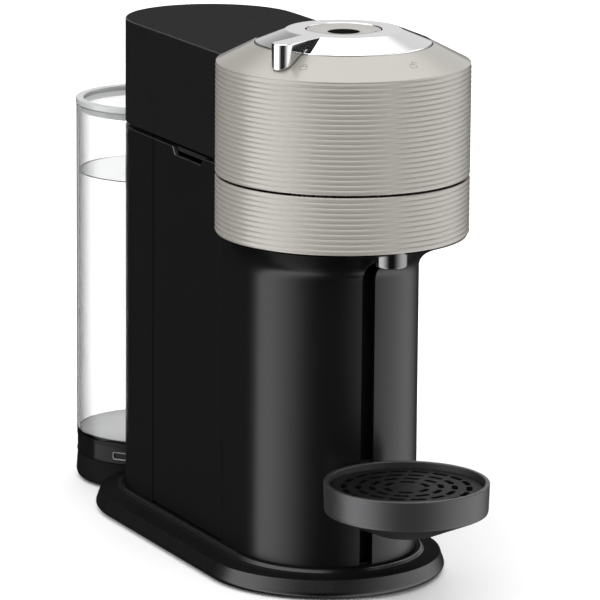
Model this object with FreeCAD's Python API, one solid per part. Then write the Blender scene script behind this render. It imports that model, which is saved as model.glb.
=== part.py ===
# Pod coffee machine with a ribbed head, a side container and a round water tank behind the body.
# Frame: origin under the middle of the machine on the floor, +Z up, +X to the right, -Y to the front.
import FreeCAD, Part
import math
import os
from FreeCAD import Vector

os.makedirs("parts", exist_ok=True)

# ---------------------------------------------------------------- driving dimensions, mm
WALL = 2.5                      # usual moulding thickness
SEAM = 0.4                      # half of the gap at a seam between two panels

HEAD_Y = -86.4                  # centre of the round head
HEAD_RADIUS = 71.0
HEAD_BOTTOM = 200.5
HEAD_SEAM_LOW = 232.3           # lower ring stops here
HEAD_SEAM_HIGH = 233.7          # upper ring starts here
HEAD_RIB_TOP = 295.8
RIB_PITCH = 2.78
RIB_DEPTH = 0.35

BODY_HALF = 51.2                # half width of the black body
BODY_REAR_Y = 84.6              # centre of the rear round
COLUMN_Y = -69.4                # centre of the front round of the column
BODY_FLOOR = 13.6
BODY_TOP = 232.0
SEAM_FRONT_Y = -38.4            # column meets the container
SEAM_REAR_Y = 56.1              # container meets the rear shell

COVER_BOTTOM = 234.5
COVER_TOP = 295.3
HINGE_Y = 125.6
HINGE_Z = 246.0
HINGE_PIN_R = 2.5
HINGE_EYE_R = 4.6
HINGE_RELIEF_R = 11.5           # the cover's rear edge is rounded about the hinge

NECK_LOW = 181.0                # the column starts to flare
NECK_HIGH = 199.6
NECK_RADIUS = 70.0

SLOT_HALF = 4.0
SLOT_LOW = 15.4                 # the slot runs up through the flare

KNOB_RADIUS = 49.1
KNOB_BASE = 307.2
KNOB_TOP = 314.0
KNOB_RING = 32.0                # flat ring on top of the knob
KNOB_BORE = 21.2
BUTTON_RADIUS = 20.7
LEVER_ANGLE = -60.0             # from the front, towards the left side
LEVER_HALF = 6.0
LEVER_REACH = 66.1

OUTLET_Y = -147.4
OUTLET_RADIUS = 9.0
OUTLET_LOW = 191.4

CUP_Y = -168.9
CUP_RADIUS = 45.7
CUP_RIM = 75.5
CUP_WALL_LOW = 59.0

BASE_FRONT_Y = -65.4
BASE_REAR_Y = 82.6
BASE_RADIUS = 70.0
BASE_EDGE = 11.3                # height of the sharp top edge
FOOT_GAP = 1.2                  # the plate stands this far above the floor

TANK_Y = 166.6
TANK_RADIUS = 47.6
TANK_GAP = 2.0                  # between the body and the hollow front of the tank
TANK_FLOOR = 29.4
TANK_TOP = 231.4
TANK_RING_LOW = 16.9
DOCK_TOP = 16.6
TANK_LID_RADIUS = 47.9
TANK_LID_TOP = 235.0


# ---------------------------------------------------------------- helpers
def save(node, *solids):
    """Write one node; several solids stay separate inside it."""
    shape = solids[0] if len(solids) == 1 else Part.makeCompound(list(solids))
    for solid in shape.Solids:
        assert solid.isValid(), node
    assert len(shape.Solids) == max(len(solids), 1), (node, len(shape.Solids))
    shape.exportStep("parts/" + node + ".step")


def box(x0, x1, y0, y1, z0, z1):
    return Part.makeBox(x1 - x0, y1 - y0, z1 - z0, Vector(x0, y0, z0))


def cylinder(x, y, radius, z0, z1):
    return Part.makeCylinder(radius, z1 - z0, Vector(x, y, z0))


def tube(x, y, outer, inner, z0, z1):
    return cylinder(x, y, outer, z0, z1).cut(cylinder(x, y, inner, z0 - 1, z1 + 1))


def rod_x(y, z, radius, x0, x1):
    return Part.makeCylinder(radius, x1 - x0, Vector(x0, y, z), Vector(1, 0, 0))


def face_of(points):
    wire = Part.makePolygon(points + points[:1])
    return Part.Face(wire)


def revolve(profile, y, angle=360.0, start=0.0):
    """Turn an (r, z) outline about the vertical line x = 0 at y; start 0 points to +X."""
    turn = math.radians(start)
    points = [Vector(r * math.cos(turn), y + r * math.sin(turn), z) for r, z in profile]
    return face_of(points).revolve(Vector(0, y, 0), Vector(0, 0, 1), angle)


def stadium(profile, y_front, y_rear):
    """Carry an (r, z) outline round a slot shape with its two centres on the Y axis."""
    rear = revolve(profile, y_rear, 180.0, 0.0)
    front = revolve(profile, y_front, 180.0, 180.0)
    sides = []
    for side in (1, -1):
        points = [Vector(side * r, y_front, z) for r, z in profile]
        sides.append(face_of(points).extrude(Vector(0, y_rear - y_front, 0)))
    return front.fuse([rear] + sides).removeSplitter()


def stadium_block(half, y_front, y_rear, z0, z1):
    profile = [(0, z0), (half, z0), (half, z1), (0, z1)]
    return stadium(profile, y_front, y_rear)


def fuse(first, *others):
    return first.fuse(list(others)).removeSplitter()


def cut(first, *others):
    return first.cut(list(others))


def ribs(z_low, z_high):
    """Outer edge of a ribbed ring, from z_low up to z_high, as (r, z) points."""
    count = int((z_high - z_low) / RIB_PITCH)
    pitch = (z_high - z_low) / count
    points = []
    for index in range(count):
        z = z_low + index * pitch
        points.append((HEAD_RADIUS - RIB_DEPTH, z))
        points.append((HEAD_RADIUS, z + 0.4 * pitch))
        points.append((HEAD_RADIUS, z + 0.75 * pitch))
    points.append((HEAD_RADIUS - RIB_DEPTH, z_high))
    return points


def spread(count, radius, y, start=0.0):
    """Centres of count places on a circle about (0, y)."""
    step = 2 * math.pi / count
    turns = [math.radians(start) + index * step for index in range(count)]
    return [(radius * math.cos(turn), y + radius * math.sin(turn)) for turn in turns]


def behind_body(shape, gap, z0, z1):
    """Hollow the front of a shape so that it follows the rear of the body."""
    return shape.cut(cylinder(0, BODY_REAR_Y, BODY_HALF + gap, z0, z1))


# ---------------------------------------------------------------- base
FOOT_RADIUS = 8.0
SCREW_PLACES = [(x, y) for y in (-90.0, 10.0, 110.0) for x in (-42.0, 42.0)]
FOOT_PLACES = [(x, y) for y in (-88.0, 104.0) for x in (-26.0, 26.0)]
DOCK_FOOT = (0.0, 186.0)


def make_base():
    outline = [
        (0, 11.8), (60.0, 11.8), (67.0, BASE_EDGE), (BASE_RADIUS, 3.2), (68.6, FOOT_GAP),
        (65.8, FOOT_GAP), (64.6, 8.6), (0, 9.2),
    ]
    lip = [
        (0, BODY_FLOOR), (51.6, BODY_FLOOR), (52.1, 15.0), (54.3, 15.0), (56.6, 13.2), (59.0, 11.8), (0, 11.8),
    ]
    plate = fuse(stadium(outline, BASE_FRONT_Y, BASE_REAR_Y), stadium(lip, COLUMN_Y, BODY_REAR_Y))
    bosses = [cylinder(x, y, 4.0, 3.4, 10.0) for x, y in SCREW_PLACES]
    holes = [cylinder(x, y, 1.55, 3.0, 10.0) for x, y in SCREW_PLACES]
    plate = cut(fuse(plate, *bosses), *holes)
    save("base_plate", plate)

    cover = stadium_block(65.3, BASE_FRONT_Y, BASE_REAR_Y, FOOT_GAP, 3.2)
    recesses = [cylinder(x, y, FOOT_RADIUS + 0.1, 0.5, 2.0) for x, y in FOOT_PLACES]
    screw_holes = [cylinder(x, y, 1.7, 0.5, 4.0) for x, y in SCREW_PLACES]
    counterbores = [cylinder(x, y, 3.2, 0.5, 2.0) for x, y in SCREW_PLACES]
    cover = cut(cover, *(recesses + screw_holes + counterbores))
    save("underside_cover", cover)

    save("rubber_feet", *[cylinder(x, y, FOOT_RADIUS, 0.0, 2.0) for x, y in FOOT_PLACES])
    screws = []
    for x, y in SCREW_PLACES:
        shank = cylinder(x, y, 1.45, 1.9, 9.5)
        head = cylinder(x, y, 3.0, 1.3, 2.0)
        screws.append(fuse(shank, head))
    save("underside_screws", *screws)
    space = [(0, 0.5), (68.9, 0.5), (BASE_RADIUS + 0.2, 3.2), (67.2, BASE_EDGE + 0.2), (60.0, 12.0), (0, 12.0)]
    lip_space = [(0, 11.0), (59.4, 11.0), (59.2, 12.0), (56.7, 13.4), (54.5, 15.2), (0, 15.2)]
    return fuse(stadium(space, BASE_FRONT_Y, BASE_REAR_Y), stadium(lip_space, COLUMN_Y, BODY_REAR_Y))


# ---------------------------------------------------------------- body
BULKHEAD = 2.5
DECK_LOW = 229.5
DECK_HALF = 48.4
CHUTE_HALF = 34.0


def half_space(y_limit, keep_front, z0, z1):
    if keep_front:
        return box(-200, 200, y_limit, 400, z0, z1)
    return box(-200, 200, -400, y_limit, z0, z1)


def body_shell(z0, z1):
    profile = [(BODY_HALF - WALL, z0), (BODY_HALF, z0), (BODY_HALF, z1), (BODY_HALF - WALL, z1)]
    return stadium(profile, COLUMN_Y, BODY_REAR_Y)


def neck_section(half, centre_y, radius, z, y_end, lower):
    """One end of the neck: the column's outline below, an arc of the head's circle above."""
    if lower:
        left = Vector(-half, centre_y, z)
        right = Vector(half, centre_y, z)
        left_edge = Part.LineSegment(Vector(-half, y_end, z), left)
        front_edge = Part.Arc(left, Vector(0, centre_y - half, z), right)
        right_edge = Part.LineSegment(right, Vector(half, y_end, z))
        end_edge = Part.LineSegment(Vector(half, y_end, z), Vector(-half, y_end, z))
    else:
        x_end = math.sqrt(radius ** 2 - (y_end - HEAD_Y) ** 2)
        corner = math.atan2(centre_y - HEAD_Y, -half)
        x_side = radius * math.cos(corner)
        y_side = HEAD_Y + radius * math.sin(corner)
        middle = 0.5 * (corner + math.atan2(y_end - HEAD_Y, -x_end))
        x_middle = radius * math.cos(middle)
        y_middle = HEAD_Y + radius * math.sin(middle)
        left_edge = Part.Arc(Vector(-x_end, y_end, z), Vector(x_middle, y_middle, z), Vector(x_side, y_side, z))
        front_edge = Part.Arc(Vector(x_side, y_side, z), Vector(0, HEAD_Y - radius, z), Vector(-x_side, y_side, z))
        right_edge = Part.Arc(Vector(-x_side, y_side, z), Vector(-x_middle, y_middle, z), Vector(x_end, y_end, z))
        end_edge = Part.LineSegment(Vector(x_end, y_end, z), Vector(-x_end, y_end, z))
    edges = [left_edge.toShape(), front_edge.toShape(), right_edge.toShape(), end_edge.toShape()]
    return Part.Wire(edges)


def neck(half, radius, z0, z1, y_end):
    low = neck_section(half, COLUMN_Y, radius, z0, y_end, True)
    high = neck_section(half, COLUMN_Y, radius, z1, y_end, False)
    return Part.makeLoft([low, high], True, True)


def make_column():
    shell = body_shell(BODY_FLOOR, NECK_LOW).cut(half_space(SEAM_FRONT_Y - SEAM, True, 0, 300))
    flare = neck(BODY_HALF, NECK_RADIUS, NECK_LOW, NECK_HIGH, SEAM_FRONT_Y - SEAM)
    hollow = neck(BODY_HALF - WALL, NECK_RADIUS - 3.0, NECK_LOW, NECK_HIGH + 3.0, SEAM_FRONT_Y + 0.2)
    core = stadium_block(BODY_HALF - WALL, COLUMN_Y, BODY_REAR_Y, NECK_LOW - 1, NECK_LOW + 1)
    shell = fuse(shell, flare.cut(hollow).cut(core))
    slot = box(-SLOT_HALF, SLOT_HALF, -160, -108, SLOT_LOW, NECK_HIGH + 1)
    outlet_hole = cylinder(0, OUTLET_Y, OUTLET_RADIUS + 0.2, 180, 205)
    save("column_shell", cut(shell, slot, outlet_hole))

    rail_half = 14.0
    rail = box(-rail_half, rail_half, -117.0, -110.5, 16.2, 180.0)
    channel = box(-11.6, 11.6, -120.0, -112.4, 15.0, 181.0)
    inner = cylinder(0, COLUMN_Y, BODY_HALF - WALL - 0.05, 15, 182)
    save("slot_rail", rail.common(inner).cut(channel))


def make_chassis():
    floor = stadium_block(BODY_HALF - WALL - 0.1, COLUMN_Y, BODY_REAR_Y, BODY_FLOOR, 16.0)
    front = box(-46.5, 46.5, SEAM_FRONT_Y - BULKHEAD, SEAM_FRONT_Y, 16.0, DECK_LOW)
    front = front.cut(box(-CHUTE_HALF, CHUTE_HALF, -45, -30, 203.0, 226.0))
    rear = box(-DECK_HALF, DECK_HALF, SEAM_REAR_Y + 0.4, SEAM_REAR_Y + 0.4 + BULKHEAD, 16.0, DECK_LOW)
    right = box(44.5, 46.5, SEAM_FRONT_Y - 1, SEAM_REAR_Y + 2, 16.0, DECK_LOW)
    save("chassis", fuse(floor, front, rear, right))

    side = box(BODY_HALF - WALL, BODY_HALF, SEAM_FRONT_Y + SEAM, SEAM_REAR_Y - SEAM, BODY_FLOOR, BODY_TOP)
    save("right_side_panel", side.cut(cylinder(0, HEAD_Y, HEAD_RADIUS + 0.6, 199.8, 240)))

    rear_shell = body_shell(BODY_FLOOR, BODY_TOP).cut(half_space(SEAM_REAR_Y + SEAM, False, 0, 300))
    gland_hole = rod_x(76.0, 27.0, 6.6, 45, 60)
    save("rear_body_shell", rear_shell.cut(gland_hole))
    gland = fuse(rod_x(76.0, 27.0, 6.5, 46.0, 56.0), rod_x(76.0, 27.0, 9.0, 51.2, 53.0))
    save("cord_gland", gland.cut(rod_x(76.0, 27.0, 3.6, 40, 60)))


def make_deck():
    deck = stadium_block(DECK_HALF, COLUMN_Y, BODY_REAR_Y, DECK_LOW, BODY_TOP)
    deck = deck.cut(half_space(-37.4, False, 200, 260))
    parts = [deck]
    for side in (-1, 1):
        x0, x1 = sorted((side * 3.5, side * 9.0))
        leg = box(x0, x1, 110.0, HINGE_Y - 2.2, BODY_TOP - 0.5, HINGE_Z)
        eye = rod_x(HINGE_Y, HINGE_Z, HINGE_EYE_R, x0, x1)
        parts += [leg, eye]
    deck = fuse(*parts)
    save("top_deck", deck.cut(rod_x(HINGE_Y, HINGE_Z, HINGE_PIN_R, -30, 30)))
    save("lid_hinge_pin", rod_x(HINGE_Y, HINGE_Z, HINGE_PIN_R, -16.0, 16.0))


# ---------------------------------------------------------------- lower head
HOLDER_RADIUS = 32.0
SHAFT_RADIUS = 3.0


def make_lower_head():
    outline = ribs(HEAD_BOTTOM, HEAD_SEAM_LOW) + [(68.2, HEAD_SEAM_LOW), (68.2, HEAD_BOTTOM)]
    ring = revolve(outline, HEAD_Y).cut(half_space(-37.4, True, 190, 240))
    save("lower_head_ring", ring)

    tray = [(37.0, 200.3), (66.0, 200.3), (66.0, 214.0), (64.0, 214.0), (64.0, 203.0), (39.0, 203.0),
            (39.0, 216.0), (37.0, 216.0)]
    tray = revolve(tray, HEAD_Y).cut(half_space(SEAM_FRONT_Y - BULKHEAD - 0.1, True, 190, 240))
    save("coffee_collector", tray.cut(cylinder(0, OUTLET_Y, 4.0, 190, 204)))
    spout = tube(0, OUTLET_Y, OUTLET_RADIUS, 4.6, OUTLET_LOW, 200.3)
    save("coffee_outlet", spout)

    deck = tube(0, HEAD_Y, 67.9, 37.5, 222.0, 224.2)
    save("head_deck", deck.cut(half_space(SEAM_FRONT_Y - BULKHEAD - 0.1, True, 190, 240)))

    bowl = [(0, 206.0), (13.0, 206.0), (26.0, 211.5), (29.5, 224.4), (34.5, 224.4), (34.5, 226.6),
            (31.8, 226.6), (27.5, 226.6), (24.3, 213.0), (12.4, 208.2), (0, 208.2)]
    hub = cylinder(0, HEAD_Y, 8.0, 196.0, 206.5)
    holder = fuse(revolve(bowl, HEAD_Y), hub).cut(cylinder(0, HEAD_Y, SHAFT_RADIUS + 0.03, 190, 204.0))
    save("capsule_holder", holder)
    save("spin_motor", fuse(cylinder(0, HEAD_Y, 20.0, 118.0, 184.0), cylinder(0, HEAD_Y, 9.0, 184.0, 187.0),
                            cylinder(0, HEAD_Y, SHAFT_RADIUS, 187.0, 203.0)))
    bearing = tube(0, HEAD_Y, 20.0, SHAFT_RADIUS + 0.05, 188.0, 193.0)
    save("shaft_bearing", bearing)


# ---------------------------------------------------------------- water circuit and electrics
def hose(radius, *points):
    """A run of straight tubes with round elbows."""
    pieces = []
    for start, end in zip(points, points[1:]):
        run = Vector(*end).sub(Vector(*start))
        pieces.append(Part.makeCylinder(radius, run.Length, Vector(*start), run))
    for corner in points[1:-1]:
        pieces.append(Part.makeSphere(radius, Vector(*corner)))
    return fuse(*pieces)


def make_water_circuit():
    pump = fuse(cylinder(-22, 88, 17.0, 28.0, 92.0), cylinder(-22, 88, 8.0, 24.0, 28.0),
                cylinder(-22, 88, 6.0, 92.0, 112.0))
    save("water_pump", pump)
    save("pump_mounts", tube(-22, 88, 14.0, 8.0, 16.0, 27.9), tube(-22, 88, 14.0, 6.0, 92.1, 98.0))
    heater = fuse(cylinder(20, 92, 21.0, 70.0, 180.0), cylinder(20, 92, 5.0, 60.0, 70.0),
                  cylinder(20, 92, 5.0, 180.0, 190.0))
    save("water_heater", heater)
    save("flow_meter", fuse(cylinder(14, 112, 11.0, 20.0, 38.0), cylinder(14, 112, 4.0, 38.0, 44.0)))
    board = box(-38, 38, 60.2, 61.8, 112.0, 206.0)
    relay = box(-30, -14, 61.8, 76.0, 130.0, 156.0)
    save("control_board", fuse(board, relay))
    save("water_hoses",
         hose(3.0, (14, 112, 44), (14, 112, 52), (-22, 112, 52), (-22, 112, 30), (-22, 106, 30)),
         hose(3.0, (-22, 88, 112), (-22, 88, 120), (-22, 112, 120), (20, 116, 120), (20, 116, 62), (20, 97.2, 62)),
         hose(2.5, (20, 92, 190), (20, 92, 210), (20, 64, 210)))


# ---------------------------------------------------------------- head lid
RING_INNER = 68.3
CONE_TOP_R = 49.5
CONE_TOP = 306.8
KNOB_SEAT = 304.6
SLEEVE_HOLE = 30.0
FRAME_LOW = 240.0
FRAME_HIGH = 244.0


def make_lid():
    outline = ribs(HEAD_SEAM_HIGH, HEAD_RIB_TOP) + [
        (CONE_TOP_R, CONE_TOP), (CONE_TOP_R, KNOB_SEAT), (SLEEVE_HOLE, KNOB_SEAT), (SLEEVE_HOLE, 302.2),
        (49.8, 302.2), (RING_INNER, 292.8), (RING_INNER, HEAD_SEAM_HIGH),
    ]
    ring = revolve(outline, HEAD_Y).cut(box(-47.5, 47.5, -50, 0, 230, 291.0))
    save("upper_head_ring", ring)

    profile = [(BODY_HALF - WALL, COVER_BOTTOM), (BODY_HALF, COVER_BOTTOM), (BODY_HALF, COVER_TOP),
               (0, COVER_TOP), (0, COVER_TOP - WALL), (BODY_HALF - WALL, COVER_TOP - WALL)]
    cover = stadium(profile, COLUMN_Y, BODY_REAR_Y)
    rear_corner = box(-60, 60, HINGE_Y, 150, 230, HINGE_Z).cut(rod_x(HINGE_Y, HINGE_Z, HINGE_RELIEF_R, -60, 60))
    cover = cut(cover, cylinder(0, HEAD_Y, HEAD_RADIUS + 0.3, 230, 300), rear_corner)
    save("lid_cover", cover)

    frame = cylinder(0, HEAD_Y, 66.5, FRAME_LOW, FRAME_HIGH)
    arm = box(-44.0, 44.0, -60.0, 95.0, FRAME_LOW, FRAME_HIGH)
    beams = [box(x - 2, x + 2, -70.0, 95.0, FRAME_LOW, 262.0) for x in (-40.0, 40.0)]
    parts = [frame, arm] + beams
    for side in (-1, 1):
        x0, x1 = sorted((side * 9.5, side * 16.0))
        fork = box(x0, x1, 90.0, HINGE_Y, FRAME_LOW + 0.2, FRAME_LOW + 7.0)
        parts += [fork, rod_x(HINGE_Y, HINGE_Z, HINGE_EYE_R, x0, x1)]
    frame = fuse(*parts).cut(rod_x(HINGE_Y, HINGE_Z, HINGE_PIN_R + 0.05, -30, 30))
    frame = frame.cut(cylinder(0, HEAD_Y, 5.0, 230, 250))
    save("lid_frame", frame)
    save("lid_seal", tube(0, HEAD_Y, 66.4, 63.0, 233.2, 239.9))

    plate = cylinder(0, HEAD_Y, 29.5, 232.4, 235.2)
    shaft = cylinder(0, HEAD_Y, 4.95, 235.2, 243.8)
    collar = cylinder(0, HEAD_Y, 8.0, 235.2, 239.6)
    needles = [Part.makeCone(0.2, 1.2, 5.0, Vector(x, y, 227.6)) for x, y in spread(3, 20.0, HEAD_Y, 90.0)]
    save("extraction_plate", fuse(plate, shaft, collar, *needles))

    post = tube(0, HEAD_Y, 19.0, 15.5, 245.0, 298.0)
    table = tube(0, HEAD_Y, 20.0, 5.1, 298.0, 305.0)
    foot = tube(0, HEAD_Y, 22.0, 15.5, FRAME_HIGH, 246.0)
    save("button_housing", fuse(post, table, foot))
    save("brew_switch", box(-4, 4, HEAD_Y - 14.5, HEAD_Y + 14.5, 286.0, 292.0),
         box(-2, 2, HEAD_Y - 2, HEAD_Y + 2, 292.1, 295.6))


# ---------------------------------------------------------------- knob and button
def make_knob():
    outline = [
        (KNOB_RADIUS, KNOB_SEAT + 0.4), (KNOB_RADIUS, KNOB_BASE), (KNOB_RING, KNOB_TOP - 0.4),
        (KNOB_RING - 0.6, KNOB_TOP), (KNOB_BORE + 0.6, KNOB_TOP), (KNOB_BORE, KNOB_TOP - 0.6),
        (KNOB_BORE, 292.0), (SLEEVE_HOLE - 0.5, 292.0), (SLEEVE_HOLE - 0.5, KNOB_SEAT + 0.4),
    ]
    knob = revolve(outline, HEAD_Y)
    lever = [(29.0, 311.0), (29.0, KNOB_TOP), (LEVER_REACH - 1.5, KNOB_TOP), (LEVER_REACH, KNOB_TOP - 1.5),
             (LEVER_REACH, 300.4), (LEVER_REACH - 1.2, 299.4), (62.0, 301.8), (48.0, 308.0)]
    points = [Vector(-LEVER_HALF, HEAD_Y - r, z) for r, z in lever]
    arm = face_of(points).extrude(Vector(2 * LEVER_HALF, 0, 0))
    arm.rotate(Vector(0, HEAD_Y, 0), Vector(0, 0, 1), LEVER_ANGLE)
    save("lever_knob", fuse(knob, arm))

    lock_ring = tube(0, HEAD_Y, 36.0, SLEEVE_HOLE - 0.5, 292.0, 297.0)
    lugs = []
    for x, y in spread(3, 39.0, HEAD_Y, 30.0):
        lugs.append(cylinder(x, y, 5.0, 292.0, 297.0))
    save("lock_ring", fuse(lock_ring, *lugs).cut(cylinder(0, HEAD_Y, SLEEVE_HOLE - 0.5, 290, 300)))

    dish = [(0, 310.0), (BUTTON_RADIUS, 310.0), (BUTTON_RADIUS, 313.2), (BUTTON_RADIUS - 0.5, 313.6),
            (14.0, 313.1), (9.1, 312.9), (9.1, 311.6), (0, 311.6)]
    stem = cylinder(0, HEAD_Y, 5.05, 297.4, 310.4)
    save("brew_button", fuse(revolve(dish, HEAD_Y), stem))
    save("button_centre", cylinder(0, HEAD_Y, 8.9, 311.6, 312.95))


# ---------------------------------------------------------------- used-capsule container
BIN_TOP = 196.0
NOTCH_FRONT_Y = -12.5
NOTCH_REAR_Y = 29.1
NOTCH_DEPTH = 4.3


def make_container():
    face = box(-BODY_HALF, -BODY_HALF + WALL, SEAM_FRONT_Y + SEAM, SEAM_REAR_Y - SEAM, 15.6, BODY_TOP)
    chamfer = 3.2
    notch = [Vector(-60, NOTCH_FRONT_Y, BODY_TOP + 1), Vector(-60, NOTCH_FRONT_Y + chamfer, BODY_TOP - NOTCH_DEPTH),
             Vector(-60, NOTCH_REAR_Y - chamfer, BODY_TOP - NOTCH_DEPTH), Vector(-60, NOTCH_REAR_Y, BODY_TOP + 1)]
    notch = face_of(notch).extrude(Vector(20, 0, 0))
    bin_outer = box(-BODY_HALF + 1, 42.0, SEAM_FRONT_Y + 1.2, SEAM_REAR_Y - 1.2, 17.0, BIN_TOP)
    bin_inner = box(-BODY_HALF + WALL, 40.0, SEAM_FRONT_Y + 3.2, SEAM_REAR_Y - 3.2, 19.0, BIN_TOP + 5)
    container = fuse(face, bin_outer).cut(bin_inner)
    head_clearance = cylinder(0, HEAD_Y, HEAD_RADIUS + 0.6, 199.8, 240)
    save("capsule_container", cut(container, notch, head_clearance))


# ---------------------------------------------------------------- water tank
WINDOW_ANGLE = 55.0             # latch windows in the tank's ring, from the front towards each side


def make_tank(base_envelope):
    dock_profile = [(0, FOOT_GAP), (46.5, FOOT_GAP), (48.0, 3.4), (47.8, 8.0), (47.2, DOCK_TOP), (0, DOCK_TOP)]
    dock = behind_body(revolve(dock_profile, TANK_Y), 0.3, 0, 20)
    dock = dock.cut(base_envelope)
    x, y = DOCK_FOOT
    recess = cylinder(x, y, FOOT_RADIUS + 0.1, 0, 2.0)
    well = cylinder(0, TANK_Y + 4, 10.0, 8.0, 20.0)
    save("tank_dock", cut(dock, recess, well))
    save("dock_foot", cylinder(x, y, FOOT_RADIUS, 0.0, 2.0))
    save("tank_valve_seat", tube(0, TANK_Y + 4, 9.8, 4.2, 8.0, 16.4))

    ring = behind_body(cylinder(0, TANK_Y, TANK_RADIUS, TANK_RING_LOW, TANK_FLOOR), TANK_GAP, 0, 300)
    ring_inner = behind_body(cylinder(0, TANK_Y, TANK_RADIUS - 2.5, 0, TANK_FLOOR - 1.0), TANK_GAP + 2.5, 0, 300)
    ring = ring.cut(ring_inner).cut(cylinder(0, TANK_Y + 4, 8.2, 10, 40))
    for side in (-1, 1):
        window = box(-4.6, 4.6, -TANK_RADIUS - 1.0, 0.8 - TANK_RADIUS, 19.6, 23.8)
        window.rotate(Vector(0, 0, 0), Vector(0, 0, 1), side * WINDOW_ANGLE)
        window.translate(Vector(0, TANK_Y, 0))
        ring = ring.cut(window)
    save("tank_base_ring", ring)

    outer = behind_body(cylinder(0, TANK_Y, TANK_RADIUS, TANK_FLOOR, TANK_TOP), TANK_GAP, 0, 300)
    inner = behind_body(cylinder(0, TANK_Y, TANK_RADIUS - 2.2, TANK_FLOOR + 2.5, TANK_TOP + 5), TANK_GAP + 2.2, 0, 300)
    hole = cylinder(0, TANK_Y + 4, 8.2, 20, 40)
    save("tank_shell", cut(outer, inner, hole))
    valve = fuse(cylinder(0, TANK_Y + 4, 8.0, 24.0, 34.0), cylinder(0, TANK_Y + 4, 9.6, 32.0, 38.0),
                 cylinder(0, TANK_Y + 4, 4.0, 17.2, 24.0))
    save("tank_valve", valve)

    rim = behind_body(cylinder(0, TANK_Y, TANK_LID_RADIUS, TANK_TOP + 0.4, TANK_LID_TOP), TANK_GAP, 0, 300)
    recess = behind_body(cylinder(0, TANK_Y, 43.0, TANK_LID_TOP - 1.6, TANK_LID_TOP + 1), TANK_GAP + 5.0, 0, 300)
    skirt = behind_body(cylinder(0, TANK_Y, TANK_RADIUS - 2.6, TANK_TOP - 4.0, TANK_TOP + 1), TANK_GAP + 2.6, 0, 300)
    skirt_inner = behind_body(cylinder(0, TANK_Y, TANK_RADIUS - 4.4, 0, TANK_TOP + 0.4), TANK_GAP + 4.4, 0, 300)
    save("tank_lid", cut(fuse(rim, skirt), recess, skirt_inner))


# ---------------------------------------------------------------- cup support
CUP_UNDER_Z = 46.8              # flat middle of the cone under the cup support
CUP_UNDER_R = 17.4
GRID_TOP = 72.0


def make_cup_support():
    outline = [
        (0, CUP_UNDER_Z), (CUP_UNDER_R, CUP_UNDER_Z), (44.4, CUP_WALL_LOW), (44.9, CUP_WALL_LOW + 0.6),
        (CUP_RADIUS, CUP_RIM - 0.8), (CUP_RADIUS - 0.8, CUP_RIM), (CUP_RADIUS - 2.0, CUP_RIM),
        (CUP_RADIUS - 2.8, CUP_RIM - 1.0), (42.4, 62.4), (40.0, 60.6), (CUP_UNDER_R, 51.0), (0, 51.0),
    ]
    dish = revolve(outline, CUP_Y)
    arm = box(-15, 15, -146.0, -122.2, 50.0, 68.0)
    bowl = revolve([(0, 44.0), (43.0, 44.0), (45.4, 80.0), (0, 80.0)], CUP_Y)
    web = box(-3.2, 3.2, -123.0, -115.0, 50.0, 68.0)
    hook = box(-10.8, 10.8, -115.6, -113.0, 46.0, 74.0)
    arm = arm.cut(bowl).cut(cylinder(0, COLUMN_Y, BODY_HALF + 0.5, 40, 80))
    save("cup_support", fuse(dish, arm, web, hook))

    grid = cylinder(0, CUP_Y, 42.0, GRID_TOP - 2.2, GRID_TOP)
    slots = []
    for ring, (radius, count) in enumerate(((12.0, 5), (21.0, 8), (30.0, 12), (37.5, 16))):
        for x, y in spread(count, radius, CUP_Y, 90.0 * (ring % 2)):
            turn = math.degrees(math.atan2(y - CUP_Y, x))
            hole = fuse(box(-1.4, 1.4, -2.6, 2.6, 60, 80), cylinder(0, -2.6, 1.4, 60, 80), cylinder(0, 2.6, 1.4, 60, 80))
            hole.rotate(Vector(0, 0, 0), Vector(0, 0, 1), turn)
            hole.translate(Vector(x, y, 0))
            slots.append(hole)
    slots.append(cylinder(0, CUP_Y, 2.4, 60, 80))
    legs = [cylinder(x, y, 2.0, 62.5, GRID_TOP - 2.0) for x, y in spread(4, 34.0, CUP_Y, 45.0)]
    save("drip_grid", fuse(grid, *legs).cut(slots))


envelope = make_base()
make_column()
make_chassis()
make_deck()
make_lower_head()
make_water_circuit()
make_lid()
make_knob()
make_container()
make_tank(envelope)
make_cup_support()
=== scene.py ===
# Looks of the pod coffee machine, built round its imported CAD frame.
# Outlines are in millimetres and add_mesh turns them into metres. X is to the right seen from the front,
# Y from the front to the rear, Z up, and the origin is on the floor under the middle of the machine.
import math

import bmesh
import bpy
from mathutils import Matrix, Vector


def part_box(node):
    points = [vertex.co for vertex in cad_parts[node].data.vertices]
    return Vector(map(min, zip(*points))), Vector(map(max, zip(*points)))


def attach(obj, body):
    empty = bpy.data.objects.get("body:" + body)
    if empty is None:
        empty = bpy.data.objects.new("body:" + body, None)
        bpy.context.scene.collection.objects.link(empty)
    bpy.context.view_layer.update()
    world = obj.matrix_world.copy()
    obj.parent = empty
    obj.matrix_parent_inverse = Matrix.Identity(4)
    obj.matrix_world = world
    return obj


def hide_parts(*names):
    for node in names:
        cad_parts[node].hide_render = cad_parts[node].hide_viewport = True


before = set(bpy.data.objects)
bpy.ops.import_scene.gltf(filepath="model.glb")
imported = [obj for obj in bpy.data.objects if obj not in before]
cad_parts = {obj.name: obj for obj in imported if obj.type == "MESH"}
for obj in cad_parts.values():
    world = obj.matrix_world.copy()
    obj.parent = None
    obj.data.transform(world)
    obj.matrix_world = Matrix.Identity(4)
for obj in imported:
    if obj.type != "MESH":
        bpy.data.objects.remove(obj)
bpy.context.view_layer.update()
MM = 0.001


# ---------------------------------------------------------------- sizes, from the frame
def node_box(node):
    """Both corners of a CAD node's box, in millimetres."""
    low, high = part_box(node)
    return low / MM, high / MM


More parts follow.
